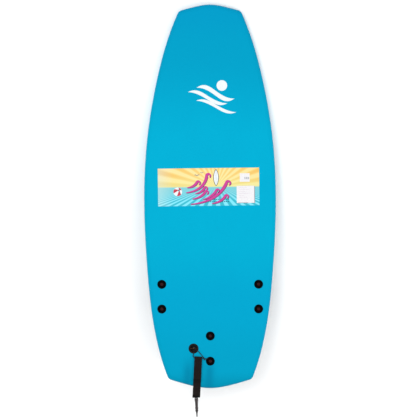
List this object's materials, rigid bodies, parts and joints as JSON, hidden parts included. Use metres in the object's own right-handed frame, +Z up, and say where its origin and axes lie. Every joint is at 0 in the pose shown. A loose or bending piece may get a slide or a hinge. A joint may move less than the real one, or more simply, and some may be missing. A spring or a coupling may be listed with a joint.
{
  "type": "soft-top surfboard",
  "caption": "Short foam surfboard for a child, with a soft blue deck, slick bottom, three bolted fins and a leash with a rail saver, swivels and an ankle cuff.",
  "frame": {"origin": "on the floor under the middle of the board, as it rests deck up on its side fins' tips and its belly", "axes": "+X to the board's right, +Y towards the nose, +Z up from the floor; the deck is pitched 8.05 degrees nose down"},
  "size_m": [0.5244, 1.6455, 0.2091],
  "materials": {
    "eps_foam": "expanded bead foam",
    "deck_foam": "closed-cell foam skin with a fine texture",
    "slick_plastic": "smooth slick bottom sheet",
    "plywood": "thin plywood",
    "fin_plastic": "moulded, slightly textured",
    "black_plastic": "moulded",
    "stainless": "turned",
    "dark_screw": "dark oxidised steel",
    "brass": "turned",
    "print_white": "heat-pressed print film",
    "label_film": "printed film",
    "sticker_paper": "printed paper",
    "webbing": "woven webbing",
    "hook_tape": "hook and loop tape",
    "string": "braided cord",
    "urethane": "smooth urethane",
    "horn_rubber": "moulded urethane",
    "neoprene": "jersey-faced neoprene"
  },
  "bodies": {
    "board": {"foam_core": "eps_foam", "deck_skin": "deck_foam", "bottom_slick": "slick_plastic", "stringer_left": "plywood", "stringer_right": "plywood", "fin_left": "fin_plastic", "fin_right": "fin_plastic", "fin_centre": "fin_plastic", "fin_bolt_washers": "black_plastic", "fin_bolts": "dark_screw", "bolt_sleeves": "black_plastic", "fin_inserts": "brass", "leash_plug_cup": "black_plastic", "leash_plug_bar": "stainless", "leash_plug_backing": "black_plastic", "leash_plug_screw": "stainless", "deck_print": "print_white", "product_label": "label_film", "label_sticker_small": "sticker_paper", "label_sticker_square": "sticker_paper", "leash_string": "string", "leash_string_knot": "string", "rail_saver_strap": "webbing", "rail_saver_loop_patch": "hook_tape", "rail_saver_end_tab": "black_plastic", "board_end_collar": "stainless", "board_end_swivel_pin": "stainless", "leash_cord": "urethane", "leash_coil": "urethane", "coil_tie": "hook_tape", "leash_cord_to_cuff": "urethane", "cuff_end_horn": "horn_rubber", "cuff_end_horn_cap": "horn_rubber"},
    "board_end_horn": {"board_end_horn": "horn_rubber", "board_end_horn_cap": "horn_rubber"},
    "rail_saver_flap": {"rail_saver_flap": "webbing", "rail_saver_pull_tab": "webbing", "rail_saver_hook_patch": "hook_tape"},
    "cuff": {"cuff_padding": "neoprene", "cuff_band": "neoprene", "cuff_loop_patch": "hook_tape", "cuff_strap": "webbing", "cuff_swivel_block": "black_plastic", "cuff_end_swivel_pin": "stainless", "cuff_end_collar": "stainless"},
    "cuff_strap_end": {"cuff_strap_end": "webbing", "cuff_hook_patch": "hook_tape", "cuff_pull_tab": "webbing"}
  },
  "joints": [
    {"name": "board_end_swivel", "type": "hinge", "parent": "board", "child": "board_end_horn", "pos_m": [-0.05614, -0.7963, 0.18536], "axis": [0.0289, -0.8987, -0.4376], "continuous": true},
    {"name": "rail_saver_peel", "type": "hinge", "parent": "board", "child": "rail_saver_flap", "pos_m": [-0.04823, -0.64248, 0.19616], "axis": [-0.9986, 0.0518, -0.0073], "range_deg": [0, 150]},
    {"name": "cuff_end_swivel", "type": "hinge", "parent": "board", "child": "cuff", "pos_m": [0.04626, -0.462, 0.01493], "axis": [-0.9914, 0, -0.1305], "continuous": true},
    {"name": "cuff_strap_peel", "type": "hinge", "parent": "cuff", "child": "cuff_strap_end", "pos_m": [0.13404, -0.49159, 0.021], "axis": [0, 0, 1], "range_deg": [0, 80]}
  ]
}
